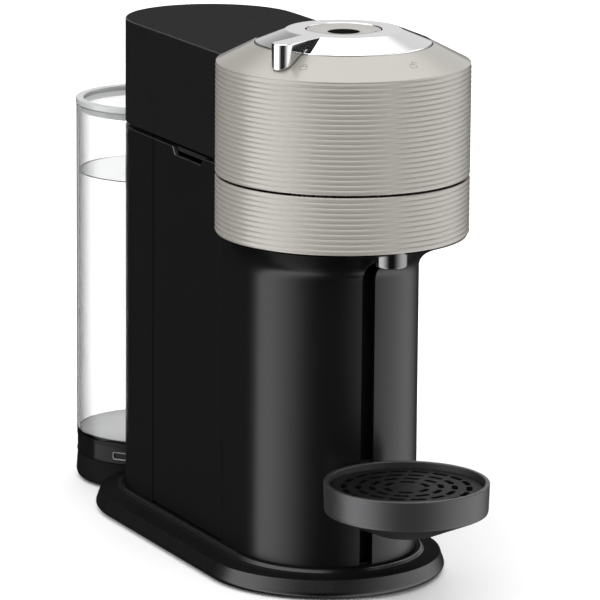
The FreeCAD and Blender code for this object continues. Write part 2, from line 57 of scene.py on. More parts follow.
HEAD_LOW, HEAD_HIGH = node_box("upper_head_ring")
RING_LOW, RING_HIGH = node_box("lower_head_ring")
COVER_LOW, COVER_HIGH = node_box("lid_cover")
COLUMN_LOW, COLUMN_HIGH = node_box("column_shell")
REAR_LOW, REAR_HIGH = node_box("rear_body_shell")
PANEL_LOW, PANEL_HIGH = node_box("right_side_panel")
BIN_LOW, BIN_HIGH = node_box("capsule_container")
KNOB_LOW, KNOB_HIGH = node_box("lever_knob")
BUTTON_HIGH = node_box("brew_button")[1]
SPOUT_LOW, SPOUT_HIGH = node_box("coffee_outlet")
CUP_LOW, CUP_HIGH = node_box("cup_support")
GRID_HIGH = node_box("drip_grid")[1]
BASE_LOW, BASE_HIGH = node_box("base_plate")
DOCK_LOW, DOCK_HIGH = node_box("tank_dock")
TANK_LOW, TANK_HIGH = node_box("tank_shell")
TRIM_LOW, TRIM_HIGH = node_box("tank_base_ring")
CAP_LOW, CAP_HIGH = node_box("tank_lid")

HEAD_RADIUS = (HEAD_HIGH.x - HEAD_LOW.x) / 2
HEAD_Y = (HEAD_HIGH.y + HEAD_LOW.y) / 2
BODY_HALF = COVER_HIGH.x
REAR_Y = COVER_HIGH.y - BODY_HALF
COLUMN_Y = -69.4                # middle of the column's round front
WALL = 2.5
RING_WALL = 2.7
RIB_TOP = 295.8                 # where the upper ring's ribs end and its cone starts
RIB_PITCH = 2.78
RIB_DEPTH = 0.55
RIB_POWER = 0.95                # below 1 the ribs are fuller than a sine wave
CONE_TOP = HEAD_HIGH.z
CONE_RADIUS = 49.5
CONE_UNDER = 302.2
SHELF_WIDTH = 14.0              # ledge inside the cone, under the knob
SHELF_DEPTH = 2.2
LIP_WALL = 1.3                  # lip on the lower ring, in front of the seam
LIP_HEIGHT = 2.2
HEAD_CLEAR = 0.6                # room between the head's circle and the body's pieces
ICON_RADIUS = 60.0
LOCK_TURN = -47.7               # degrees from the front, towards the right
OPEN_TURN = 12.5
KNOB_RADIUS = 49.1
KNOB_BASE = 307.2
KNOB_RING = 32.0                # where the knob's slope meets its flat top
KNOB_SKIRT = CONE_TOP - 1.8     # how low the knob reaches into the cone
BUTTON_RADIUS = BUTTON_HIGH.x
KNOB_BORE = BUTTON_RADIUS + 0.5
LEVER_TURN = math.radians(60.0)
LEVER_HALF = 6.0
LEVER_REACH = 66.0
LEVER_ROOT = 27.0               # where the lever starts, inside the knob
NECK_LOW = 178.0
NECK_RADIUS = 70.0
NECK_WALL = 3.0
NECK_POWER = 1.95               # above 1 the neck flares late, under the head
SLOT_HALF = 4.0
SLOT_LOW = 15.4
SPOUT_Y = (SPOUT_HIGH.y + SPOUT_LOW.y) / 2
SPOUT_WALL_RADIUS = 4.6
CUP_Y = -168.9
CUP_RADIUS = CUP_HIGH.x
CUP_RIM = 75.5
TANK_RADIUS = TANK_HIGH.x
TANK_Y = TANK_HIGH.y - TANK_RADIUS
TANK_GAP = 2.0                  # between the body's rear and the tank's hollow front
TANK_WALL = 1.3
WATER_LEVEL = 191.0
WINDOW_TURN = math.radians(51.0)
WINDOW_Z = 21.7
HINGE_Y = 125.6
HINGE_Z = 246.0
HINGE_RELIEF = 11.5
GLAND_RADIUS = 6.6
GLAND_Y = 76.0
GLAND_Z = 27.0
BASE_FRONT_Y = -65.4            # middles of the base plate's two round ends
BASE_REAR_Y = 82.6


# ---------------------------------------------------------------- outlines
def fillet(corners, closed=True, steps=5):
    """Round an outline: each corner is (x, y) or (x, y, radius)."""
    points = []
    count = len(corners)
    for index, corner in enumerate(corners):
        radius = corner[2] if len(corner) > 2 else 0.0
        here = Vector(corner[:2])
        inner = closed or 0 < index < count - 1
        if radius <= 0 or not inner:
            points.append(tuple(here))
            continue
        before = Vector(corners[index - 1][:2]) - here
        after = Vector(corners[(index + 1) % count][:2]) - here
        half = before.angle(after) / 2
        reach = min(radius / math.tan(half), 0.49 * before.length, 0.49 * after.length)
        radius = reach * math.tan(half)
        middle = (before.normalized() + after.normalized()).normalized()
        centre = here + middle * radius / math.sin(half)
        first = here + before.normalized() * reach - centre
        last = here + after.normalized() * reach - centre
        sweep = first.angle_signed(last)
        for step in range(steps + 1):
            spoke = first.copy()
            spoke.rotate(Matrix.Rotation(-sweep * step / steps, 2))
            points.append(tuple(centre + spoke))
    return points


def arc(cx, cy, radius, start, end, steps):
    """Points on an arc, angles in degrees from +X."""
    turns = [math.radians(start + (end - start) * step / steps) for step in range(steps + 1)]
    return [(cx + radius * math.cos(turn), cy + radius * math.sin(turn)) for turn in turns]


def rectangle(half, low, high, radius):
    """A rectangle with round corners, as wide to the left as to the right."""
    return fillet([(-half, low, radius), (half, low, radius), (half, high, radius), (-half, high, radius)])


def offset(outline, distance):
    """Move a closed outline inwards (it runs anticlockwise), mitred at its corners."""
    moved = []
    count = len(outline)
    for index in range(count):
        here = Vector(outline[index])
        before = (here - Vector(outline[index - 1])).normalized()
        after = (Vector(outline[(index + 1) % count]) - here).normalized()
        normal = Vector((-before.y, before.x)) + Vector((-after.y, after.x))
        scale = 2.0 / max(normal.length_squared, 0.4)
        moved.append(tuple(here + normal * distance * scale))
    return moved


# ---------------------------------------------------------------- meshes
def add_mesh(name, vertices, faces, sharp=32.0):
    mesh = bpy.data.meshes.new(name)
    mesh.from_pydata([(x * MM, y * MM, z * MM) for x, y, z in vertices], [], faces)
    tidy = bmesh.new()
    tidy.from_mesh(mesh)
    bmesh.ops.remove_doubles(tidy, verts=tidy.verts, dist=1e-7)
    bmesh.ops.dissolve_degenerate(tidy, edges=tidy.edges, dist=1e-7)
    bmesh.ops.recalc_face_normals(tidy, faces=tidy.faces)
    tidy.to_mesh(mesh)
    tidy.free()
    piece = bpy.data.objects.new(name, mesh)
    bpy.context.scene.collection.objects.link(piece)
    smooth(piece, sharp)
    return piece


def smooth(piece, sharp=32.0):
    piece.data.shade_smooth()
    piece.data.set_sharp_from_angle(angle=math.radians(sharp))


def grid_faces(rows, columns, closed=False):
    """Quads between rings of points; closed joins the last ring to the first."""
    faces = []
    for row in range(rows if closed else rows - 1):
        below = row * columns
        above = ((row + 1) % rows) * columns
        for column in range(columns):
            right = (column + 1) % columns
            faces.append((below + column, below + right, above + right, above + column))
    return faces


def capped_faces(rows, columns):
    """Quads round a stack of closed outlines, with a cap on the first and on the last."""
    last = (rows - 1) * columns
    caps = [tuple(reversed(range(columns))), tuple(range(last, last + columns))]
    return grid_faces(rows, columns) + caps


def lathe(name, profile, centre_y, steps=192, closed=True, sharp=32.0):
    """Turn an (r, z) outline about a vertical line; an open outline gets a cap at both ends."""
    vertices = []
    for r, z in profile:
        for step in range(steps):
            turn = 2 * math.pi * step / steps
            vertices.append((r * math.cos(turn), centre_y + r * math.sin(turn), z))
    faces = grid_faces(len(profile), steps, closed=True) if closed else capped_faces(len(profile), steps)
    return add_mesh(name, vertices, faces, sharp)


def stadium_path(y_front, y_rear):
    """Stations (centre y, turn) round a slot shape, anticlockwise from +X."""
    steps = 96
    rear = [(y_rear, math.pi * step / steps) for step in range(steps + 1)]
    front = [(y_front, math.pi + math.pi * step / steps) for step in range(steps + 1)]
    return rear + front


def stadium_rows(profile, path):
    """Points of a slot shape, one round of the path for each (r, z) of the profile."""
    return [(r * math.cos(turn), y + r * math.sin(turn), z) for r, z in profile for y, turn in path]


def prism(name, outline, rows, height=None, hoop=False):
    """Stack a closed outline, each row an (inset, z); the ends are capped or, for a hoop, joined."""
    vertices = []
    for inset, z in rows:
        for x, y in offset(outline, inset):
            vertices.append((x, y, z if height is None else height(x, y, z)))
    columns = len(outline)
    faces = grid_faces(len(rows), columns, closed=True) if hoop else capped_faces(len(rows), columns)
    return add_mesh(name, vertices, faces)


def edge_rows(z_low, z_high, low, high, steps=4):
    """Rows of a solid block whose lower and upper edges are rounded to the radii low and high."""
    turns = [math.pi / 2 * step / steps for step in range(steps + 1)]
    rows = [(low * (1 - math.sin(turn)), z_low + low * (1 - math.cos(turn))) for turn in turns]
    rows += [(high * (1 - math.cos(turn)), z_high - high * (1 - math.sin(turn))) for turn in turns]
    return rows


def combine(piece, tool, how):
    """Apply a boolean of two closed meshes for good, and drop the tool."""
    change = piece.modifiers.new("combine", "BOOLEAN")
    change.operation = how
    change.solver = "EXACT"
    change.object = tool
    bpy.context.view_layer.update()
    graph = bpy.context.evaluated_depsgraph_get()
    mesh = bpy.data.meshes.new_from_object(piece.evaluated_get(graph))
    piece.modifiers.clear()
    piece.data = mesh
    bpy.data.objects.remove(tool)
    return piece


def cut(piece, tool):
    return combine(piece, tool, "DIFFERENCE")


def join(piece, tool):
    return combine(piece, tool, "UNION")


def block(name, x0, x1, y0, y1, z0, z1):
    """A plain box, given by its limits."""
    corners = [(x0, y0), (x1, y0), (x1, y1), (x0, y1)]
    return prism(name, corners, [(0, z0), (0, z1)])


def rod(name, radius, start, direction, length, steps=48):
    """A plain cylinder for cutting, along any direction."""
    along = Vector(direction).normalized()
    side = along.orthogonal().normalized()
    other = along.cross(side)
    vertices = []
    for reach in (0.0, length):
        for step in range(steps):
            turn = 2 * math.pi * step / steps
            spoke = radius * (math.cos(turn) * side + math.sin(turn) * other)
            vertices.append(tuple(Vector(start) + along * reach + spoke))
    return add_mesh(name, vertices, capped_faces(2, steps))


def post(name, radius, y, z, length, steps=192):
    """An upright cylinder on the machine's middle plane, for cutting."""
    return rod(name, radius, (0, y, z), (0, 0, 1), length, steps)


def paint_edge_highlights(piece, low, high):
    """Give the rounded upper edges that lie between two levels the edge material, whose lighter colour is a
    painted highlight over a real gloss coat.
    """
    steepest, flattest = 0.2, 0.96
    piece.data.materials.append(EDGE_HIGHLIGHT)
    for face in piece.data.polygons:
        level = (low - 1) * MM < face.center.z < (high + 1) * MM
        if level and steepest < face.normal.z < flattest:
            face.material_index = 1


def settle(piece, body, material, slot, *nodes):
    """Finish a piece: material, body and the CAD nodes that it stands for; the material slot argument is not
    used.
    """
    piece.data.materials.clear()
    piece.data.materials.append(material)
    piece.modifiers.new("weigh_normals", "WEIGHTED_NORMAL").keep_sharp = True
    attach(piece, body)
    if nodes:
        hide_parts(*nodes)


# ---------------------------------------------------------------- materials
class Shader:
    """A Principled material with a few procedural layers."""

    def __init__(self, name, **sockets):
        self.material = bpy.data.materials.new(name)
        self.material.use_nodes = True
        self.tree = self.material.node_tree
        self.surface = self.tree.nodes["Principled BSDF"]
        self.place = self.tree.nodes.new("ShaderNodeTexCoord").outputs["Object"]
        for key, value in sockets.items():
            self.surface.inputs[key.replace("_", " ")].default_value = value

    def noise(self, scale, detail=2.0, stretch=(1, 1, 1)):
        mapping = self.tree.nodes.new("ShaderNodeMapping")
        mapping.inputs["Scale"].default_value = stretch
        self.tree.links.new(self.place, mapping.inputs["Vector"])
        noise = self.tree.nodes.new("ShaderNodeTexNoise")
        noise.inputs["Scale"].default_value = scale
        noise.inputs["Detail"].default_value = detail
        self.tree.links.new(mapping.outputs["Vector"], noise.inputs["Vector"])
        return noise.outputs["Fac"]

    def rim(self, start, end):
        """0 where the surface faces the eye, 1 where it is seen at a flat angle."""
        weight = self.tree.nodes.new("ShaderNodeLayerWeight")
        weight.inputs["Blend"].default_value = 0.5
        spread = self.tree.nodes.new("ShaderNodeMapRange")
        spread.inputs["From Min"].default_value = start
        spread.inputs["From Max"].default_value = end
        self.tree.links.new(weight.outputs["Facing"], spread.inputs["Value"])
        return spread.outputs["Result"]

    def vary(self, source, low, high, socket):
        """Let a texture move a value between low and high."""
        spread = self.tree.nodes.new("ShaderNodeMapRange")
        spread.inputs["From Min"].default_value = 0.3
        spread.inputs["From Max"].default_value = 0.7
        spread.inputs["To Min"].default_value = low
        spread.inputs["To Max"].default_value = high
        self.tree.links.new(source, spread.inputs["Value"])
        self.tree.links.new(spread.outputs["Result"], self.surface.inputs[socket])

    def tint(self, source, first, second):
        """Let a texture move the colour between two close colours."""
        mix = self.tree.nodes.new("ShaderNodeMix")
        mix.data_type = "RGBA"
        mix.inputs[6].default_value = (*first, 1)
        mix.inputs[7].default_value = (*second, 1)
        self.tree.links.new(source, mix.inputs[0])
        self.tree.links.new(mix.outputs[2], self.surface.inputs["Base Color"])

    def bump(self, source, strength, distance):
        bump = self.tree.nodes.new("ShaderNodeBump")
        bump.inputs["Strength"].default_value = strength
        bump.inputs["Distance"].default_value = distance
        self.tree.links.new(source, bump.inputs["Height"])
        self.tree.links.new(bump.outputs["Normal"], self.surface.inputs["Normal"])


def textured(name, scale, first, second, rough, fine=None, detail=3.0, **sockets):
    """Two close colours at a scale; rough is (scale, low, high), fine is (scale, strength, depth)."""
    shader = Shader(name, **sockets)
    shader.tint(shader.noise(scale), first, second)
    rough_scale, low, high = rough
    shader.vary(shader.noise(rough_scale, detail), low, high, "Roughness")
    if fine:
        fine_scale, strength, depth = fine
        shader.bump(shader.noise(fine_scale), strength, depth)
    return shader.material


def plain(name, first, second, low, high, grain=400.0, **sockets):
    """A textured material whose three scales all follow from one."""
    fine = (grain * 6, 0.08, SHALLOW)
    return textured(name, grain / 4, first, second, (grain, low, high), fine, **sockets)


def anthracite():
    """Dark metallic satin paint, faintly brushed round the dish."""
    shader = Shader("anthracite", Metallic=0.75)
    shader.tint(shader.noise(2600.0), (0.060, 0.060, 0.062), (0.085, 0.085, 0.088))
    shader.vary(shader.noise(300.0, 4.0, (1, 1, 14)), 0.34, 0.44, "Roughness")
    shader.bump(shader.noise(900.0, 2.0, (1, 1, 20)), 0.12, DEEP)
    return shader.material


def clear_plastic(name, colour, edge, rough_low, rough_high, index):
    """Clear plastic whose colour deepens towards edge where it is seen at a flat angle; this darkening is
    painted edge shade.
    """
    shader = Shader(name, Transmission_Weight=1.0, IOR=index)
    shader.vary(shader.noise(150.0, 3.0), rough_low, rough_high, "Roughness")
    shader.tint(shader.rim(0.30, 0.85), colour, edge)
    return shader.material


SHALLOW = 0.00002               # depths of the grain, in metres
DEEP = 0.00003

# Black plastics: the shells, the lid's cover that must not glare, edges whose lighter colour is a painted
# highlight over a real gloss coat, base, and inside pieces.
BLACK = textured("satin_black", 60.0, (0.0038, 0.0038, 0.0040), (0.0052, 0.0052, 0.0054),
                 (900.0, 0.28, 0.34), (4500.0, 0.10, SHALLOW), IOR=1.4)
COVER = textured("cover_black", 60.0, (0.0075, 0.0075, 0.0078), (0.0095, 0.0095, 0.0099),
                 (900.0, 0.40, 0.50), (4500.0, 0.12, SHALLOW),
                 IOR=1.5, Specular_IOR_Level=0.0, Coat_Weight=0.11, Coat_Roughness=0.33)
# The edge colour, several times lighter than the shells' black, is a painted highlight.
EDGE_HIGHLIGHT = textured("edge_painted_highlight", 60.0, (0.03, 0.03, 0.031), (0.04, 0.04, 0.041),
                (900.0, 0.2, 0.26), IOR=1.6, Coat_Weight=1.0, Coat_Roughness=0.1)
BASE = textured("base_black", 60.0, (0.0030, 0.0030, 0.0032), (0.0042, 0.0042, 0.0044),
                (900.0, 0.26, 0.32), (4500.0, 0.10, SHALLOW), IOR=1.52)
DULL = textured("dull_black", 90.0, (0.008, 0.008, 0.008), (0.013, 0.013, 0.0135),
                (700.0, 0.42, 0.55), (3000.0, 0.2, DEEP), IOR=1.35)
# Blacks that take little light from above: the button's disc, the tank's ring, the dock and the grid.
DISC = textured("disc_black", 50.0, (0.0020, 0.0020, 0.0022), (0.0032, 0.0032, 0.0034),
                (300.0, 0.2, 0.3), detail=2.0,
                Specular_IOR_Level=0.0, Coat_Weight=0.02, Coat_Roughness=0.1)
SMOKE = textured("smoke_gloss", 80.0, (0.004, 0.004, 0.0044), (0.007, 0.007, 0.0074),
                 (350.0, 0.2, 0.3), detail=2.0,
                 Specular_IOR_Level=0.0, Coat_Weight=0.25, Coat_Roughness=0.12)
DOCK = textured("dock_black", 60.0, (0.006, 0.006, 0.0063), (0.009, 0.009, 0.0093),
                (900.0, 0.5, 0.6), (4500.0, 0.12, SHALLOW),
                Specular_IOR_Level=0.0, Coat_Weight=0.04, Coat_Roughness=0.4)
GRID = textured("grid_black", 90.0, (0.004, 0.004, 0.004), (0.006, 0.006, 0.0062),
                (700.0, 0.42, 0.55), (3000.0, 0.2, DEEP), Specular_IOR_Level=0.1)
# Warm light grey metallic lacquer with a fine mica grain.
GREIGE = textured("champagne", 5200.0, (0.305, 0.290, 0.263), (0.335, 0.318, 0.289),
                  (240.0, 0.30, 0.36), (3600.0, 0.05, SHALLOW),
                  Metallic=0.2, IOR=1.45, Coat_Weight=0.5, Coat_Roughness=0.04)
ETCH = plain("etched_grey", (0.13, 0.125, 0.118), (0.16, 0.155, 0.146), 0.4, 0.5)
# Metals.
CHROME = textured("bright_chrome", 30.0, (0.80, 0.80, 0.81), (0.84, 0.84, 0.85),
                  (400.0, 0.05, 0.09), detail=4.0, Metallic=1.0)
SPOUT = textured("dark_chrome", 40.0, (0.155, 0.153, 0.151), (0.20, 0.198, 0.196),
                 (300.0, 0.10, 0.16), Metallic=1.0)
METALLIC = anthracite()
STEEL = plain("brushed_steel", (0.50, 0.50, 0.51), (0.60, 0.60, 0.61), 0.22, 0.34, Metallic=1.0)
CAST = plain("cast_aluminium", (0.5, 0.5, 0.51), (0.6, 0.6, 0.61), 0.4, 0.55, Metallic=1.0)
# The tank and its water.
# The tank's colour falls from near white to dark grey at flat angles: painted shade along the tank's edges.
CLEAR = clear_plastic("clear_tank", (0.985, 0.985, 0.985), (0.10, 0.102, 0.105), 0.0, 0.01, 1.18)
FROST = clear_plastic("clear_lid", (0.88, 0.885, 0.89), (0.84, 0.845, 0.85), 0.02, 0.06, 1.2)
WATER = clear_plastic("water", (0.985, 0.987, 0.99), (0.97, 0.972, 0.975), 0.0, 0.005, 1.01)
# The water surface's grey tint, darker at flat angles, is a painted reflection on the water.
SURFACE = clear_plastic("water_surface", (0.88, 0.885, 0.89), (0.76, 0.765, 0.77), 0.0, 0.01, 1.33)
RIM = plain("frosted_rim", (0.40, 0.405, 0.41), (0.44, 0.445, 0.45), 0.12, 0.2, grain=60.0,
            Coat_Weight=0.5)
FLOOR_PLATE = plain("tank_floor_grey", (0.88, 0.88, 0.88), (0.92, 0.92, 0.92), 0.35, 0.45)
LATCH = plain("latch_grey", (0.20, 0.20, 0.205), (0.25, 0.25, 0.255), 0.25, 0.35)
# Pieces inside and below.
RUBBER = plain("rubber", (0.012, 0.012, 0.012), (0.02, 0.02, 0.02), 0.7, 0.85)
GREY = plain("pump_grey", (0.16, 0.16, 0.17), (0.2, 0.2, 0.21), 0.4, 0.5)
WHITE = plain("white_plastic", (0.68, 0.68, 0.66), (0.74, 0.74, 0.72), 0.35, 0.45)
GREEN = plain("circuit_green", (0.02, 0.12, 0.045), (0.03, 0.17, 0.06), 0.3, 0.4)
HOSE = plain("silicone_hose", (0.5, 0.5, 0.48), (0.56, 0.56, 0.54), 0.3, 0.45)


# ---------------------------------------------------------------- head
def rib_edge(z_low, z_high):
    """Rounded ribs with narrow valleys between them, from z_high down to z_low, as (r, z)."""
    count = round((z_high - z_low) / RIB_PITCH)
    pitch = (z_high - z_low) / count
    per_rib = 8
    points = []
    for step in range(count * per_rib + 1):
        share = (step % per_rib) / per_rib
        depth = RIB_DEPTH * (1 - math.sin(math.pi * share) ** RIB_POWER)
        points.append((HEAD_RADIUS - depth, z_high - step * pitch / per_rib))
    return points


def make_rings():
    """The ribbed rings, upper with its cone and lower, open at the rear where the body meets them."""
    steps = 288
    sharp = 50
    inner = HEAD_RADIUS - RING_WALL
    shelf = CONE_RADIUS - SHELF_WIDTH
    shelf_top = CONE_TOP - SHELF_DEPTH
    upper = fillet([
        (shelf, shelf_top), (CONE_RADIUS, shelf_top, 0.3), (CONE_RADIUS, CONE_TOP, 0.5),
        (HEAD_RADIUS - 0.1, RIB_TOP + 0.1, 1.2), (HEAD_RADIUS - RIB_DEPTH, RIB_TOP - 0.6),
    ], closed=False)
    upper += rib_edge(HEAD_LOW.z, RIB_TOP - 0.8)
    upper += [(inner, HEAD_LOW.z), (inner, 292.8), (CONE_RADIUS + 0.3, CONE_UNDER), (shelf, CONE_UNDER)]
    ring = lathe("head_ring_upper", upper, HEAD_Y, steps, sharp=sharp)
    arm_half = 47.5                 # the cover's frame enters the ring here
    window = block("window", -arm_half, arm_half, -50, 0, 230, 291)
    settle(cut(ring, window), "lid", GREIGE, "champagne_plastic", "upper_head_ring")
    smooth(ring, sharp)

    step = RING_HIGH.z - LIP_HEIGHT
    lip = HEAD_RADIUS - LIP_WALL
    lower = [(inner, step), (lip, step), (lip, RING_HIGH.z)]
    lower += rib_edge(RING_LOW.z, RING_HIGH.z) + [(inner, RING_LOW.z)]
    ring = lathe("head_ring_lower", lower, HEAD_Y, steps, sharp=sharp)
    behind = block("behind", -90, 90, RING_HIGH.y, 60, 190, 240)
    settle(cut(ring, behind), "root", GREIGE, "champagne_plastic", "lower_head_ring")
    smooth(ring, sharp)


def cone_height(x, y):
    """Height of the upper ring's cone at a place."""
    reach = math.hypot(x, y - HEAD_Y)
    slope = (CONE_TOP - RIB_TOP) / (HEAD_RADIUS - CONE_RADIUS)
    return RIB_TOP + (HEAD_RADIUS - reach) * slope


def cone_piece(name, outline, turn, reach, low, high):
    """Lay a thin flat shape on the cone, with its up towards the middle of the head."""
    vertices = []
    for lift in (low, high):
        for across, up in outline:
            radius = reach - up
            x = radius * math.sin(turn) + across * math.cos(turn)
            y = HEAD_Y - radius * math.cos(turn) + across * math.sin(turn)
            vertices.append((x, y, cone_height(x, y) + lift))
    return add_mesh(name, vertices, capped_faces(2, len(outline)))


def make_icons():
    """Etched outlines of a closed and an open padlock, where the lever points when locked and open."""
    line = 0.4
    shackle_low, shackle_radius = 1.1, 1.7
    sunk, proud = -0.2, 0.04
    for name, angle, swing in (("lock_icon", LOCK_TURN, 0.0), ("unlock_icon", OPEN_TURN, 2.0)):
        turn = math.radians(angle)
        body = rectangle(half=2.2, low=-1.9, high=1.2, radius=0.8)
        inner = offset(body, line)
        shackle = arc(swing, shackle_low, shackle_radius, 0, 180, 16)
        shackle += arc(swing, shackle_low, shackle_radius - line, 180, 0, 16)
        icon = cone_piece(name, body, turn, ICON_RADIUS, sunk, proud)
        cut(icon, cone_piece("inner", inner, turn, ICON_RADIUS, -1.0, 1.0))
        join(icon, cone_piece("shackle", shackle, turn, ICON_RADIUS, sunk, proud))
        settle(icon, "lid", ETCH, "champagne_plastic")


def lever_height(x, y, share):
    """Height at a share of the way from the lever's underside, which drops past the knob, to its top."""
    drop = 0.52
    reach = math.hypot(x, y - HEAD_Y)
    under = KNOB_BASE + 1.0 - max(0.0, reach - KNOB_RADIUS + 1.5) * drop
    return under + (KNOB_HIGH.z - under) * share


def make_knob():
    """The chrome knob, with the lever that points from it to the front left."""
    top = KNOB_HIGH.z
    inside = 29.4
    profile = fillet([
        (KNOB_RADIUS, KNOB_SKIRT, 0.2), (KNOB_RADIUS, KNOB_BASE, 0.5), (KNOB_RING, top, 4.0),
        (KNOB_BORE, top, 0.5), (KNOB_BORE, KNOB_LOW.z, 0.3), (inside, KNOB_LOW.z, 0.3),
        (inside, KNOB_SKIRT, 0.3),
    ])
    knob = lathe("lever_knob_chrome", profile, HEAD_Y, 256)
    tip = LEVER_REACH - LEVER_HALF
    spacing = 2.0
    along = [-LEVER_ROOT - spacing * step for step in range(17)]
    outline = [(-LEVER_HALF, y) for y in along] + arc(0, -tip, LEVER_HALF, 180, 360, 24)
    outline += [(LEVER_HALF, y) for y in reversed(along)]
    turned = []
    for x, y in outline:
        turned.append((x * math.cos(LEVER_TURN) + y * math.sin(LEVER_TURN),
                       HEAD_Y - x * math.sin(LEVER_TURN) + y * math.cos(LEVER_TURN)))
    lower = [(1.4, 0.0), (0.8, 0.02), (0.35, 0.055), (0.0, 0.12)]
    upper = [(0.0, 0.93), (0.12, 0.965), (0.3, 0.985), (0.75, 1.0)]
    lever = prism("lever", turned, lower + upper, height=lever_height)
    join(knob, lever)
    smooth(knob, 30)
    settle(knob, "knob", CHROME, "satin_chrome", "lever_knob")


def make_button():
    """The dished button and the glossy disc in its middle."""
    top = BUTTON_HIGH.z
    rim = BUTTON_RADIUS
    under = 303.0
    bore = 3.0
    hole = 8.95
    floor = top - 2.4
    profile = fillet([
        (bore, under), (rim, under, 0.2), (rim, top, 0.5), (rim - 1.2, top, 2.0), (16.0, top - 0.75, 8.0),
        (hole + 0.4, top - 1.1, 0.3), (hole, top - 1.4, 0.2), (hole, floor), (bore, floor),
    ])
    button = lathe("brew_button_cap", profile, HEAD_Y, 128)
    settle(button, "button", GREIGE, "champagne_plastic", "brew_button")
    edge = hole - 0.12
    profile = fillet([
        (0.4, top - 2.3), (edge, top - 2.3, 0.1), (edge, top - 1.15, 0.35), (0.4, top - 1.3),
    ], closed=False)
    disc = lathe("button_centre_disc", profile, HEAD_Y, 96, closed=False)
    settle(disc, "button", DISC, "black_gloss", "button_centre")


def make_cover():
    """The black cover behind the head, cut back at its rear so that it can swing up past the deck."""
    half = BODY_HALF
    reach = HEAD_RADIUS + 0.35
    side = math.degrees(math.asin(half / reach))
    outline = arc(0, REAR_Y, half, 0, 180, 72)
    outline += arc(0, HEAD_Y, reach, 90 + side, 90 - side, 64)
    z_low, z_high = COVER_LOW.z, COVER_HIGH.z
    rows = [(WALL, z_high - WALL), (WALL, z_low + 0.3), (WALL - 0.3, z_low), (0.3, z_low)]
    rows += [(0.09, z_low + 0.09), (0, z_low + 0.3), (0, z_low + 12), (0, z_high - 12)]
    edge = 0.8
    for step in range(6):
        turn = math.pi / 2 * step / 5
        rows.append((edge * (1 - math.cos(turn)), z_high - edge + edge * math.sin(turn)))
    cover = prism("lid_cover_black", outline, rows)
    for vertex in cover.data.vertices:
        vertex.co.x = max(-half * MM, min(half * MM, vertex.co.x))
    corner = block("corner", -60, 60, HINGE_Y, 150, 225, HINGE_Z)
    relief = rod("relief", HINGE_RELIEF, (-70, HINGE_Y, HINGE_Z), (1, 0, 0), 140, 96)
    cut(corner, relief)
    cut(cover, corner)
    smooth(cover)
    settle(cover, "lid", COVER, "satin_black", "lid_cover")
    paint_edge_highlights(cover, z_high, z_high)


# ---------------------------------------------------------------- column, body and container
def column_outline(half, y_end, steps):
    """The column's front, open at the rear: side, round front, side."""
    side = 8
    left = [(-half, y_end + (COLUMN_Y - y_end) * step / side) for step in range(side)]
    right = [(half, COLUMN_Y + (y_end - COLUMN_Y) * step / side) for step in range(1, side + 1)]
    return left + arc(0, COLUMN_Y, half, 180, 360, steps) + right


def head_outline(radius, like, y_end):
    """Points on the head's circle, one for each point of the column's outline."""
    x_end = math.sqrt(radius ** 2 - (y_end - HEAD_Y) ** 2)
    points = []
    for x, y in like:
        turn = math.atan2(y - HEAD_Y, x)
        points.append((radius * math.cos(turn), HEAD_Y + radius * math.sin(turn)))
    points[0] = (-x_end, y_end)
    points[-1] = (x_end, y_end)
    return points


def make_column():
    """The column's shell, flared into a neck under the head, with the slot and the hole for the outlet."""
    y_end = COLUMN_HIGH.y
    steps = 96
    outer = column_outline(BODY_HALF, y_end, steps)
    inner = column_outline(BODY_HALF - WALL, y_end, steps)
    outer_top = head_outline(NECK_RADIUS, outer, y_end)
    inner_top = head_outline(NECK_RADIUS - NECK_WALL, inner, y_end)
    z_low, z_high = COLUMN_LOW.z, COLUMN_HIGH.z
    heights = [z_low, z_low + 0.4, 60, 120, NECK_LOW - 2]
    neck_steps = 16
    heights += [NECK_LOW + (z_high - NECK_LOW) * step / neck_steps for step in range(neck_steps + 1)]
    vertices = []
    for z in heights:
        share = max(0.0, (z - NECK_LOW) / (z_high - NECK_LOW)) ** NECK_POWER
        loop = [Vector(a).lerp(Vector(b), share) for a, b in zip(outer, outer_top)]
        loop += [Vector(a).lerp(Vector(b), share) for a, b in zip(reversed(inner), reversed(inner_top))]
        vertices += [(x, y, z) for x, y in loop]
    columns = 2 * len(outer)
    faces = grid_faces(len(heights), columns)
    for base, turn in ((0, -1), ((len(heights) - 1) * columns, 1)):
        for index in range(len(outer) - 1):
            across = base + columns - 1 - index
            quad = (base + index, base + index + 1, across - 1, across)
            faces.append(quad[::turn])
    column = add_mesh("column_front", vertices, faces)
    slot = block("slot_cutter", -SLOT_HALF, SLOT_HALF, -160.0, -106.0, SLOT_LOW, z_high + 1)
    cut(column, slot)
    cut(column, post("hole", SPOUT_HIGH.x + 0.3, SPOUT_Y, 178, 30, 64))
    smooth(column)
    settle(column, "root", BLACK, "satin_black", "column_shell")


def head_cutter():
    """A cylinder that clears the head's circle out of a side of the body."""
    return post("head_clear", HEAD_RADIUS + HEAD_CLEAR, HEAD_Y, 199.8, 50)


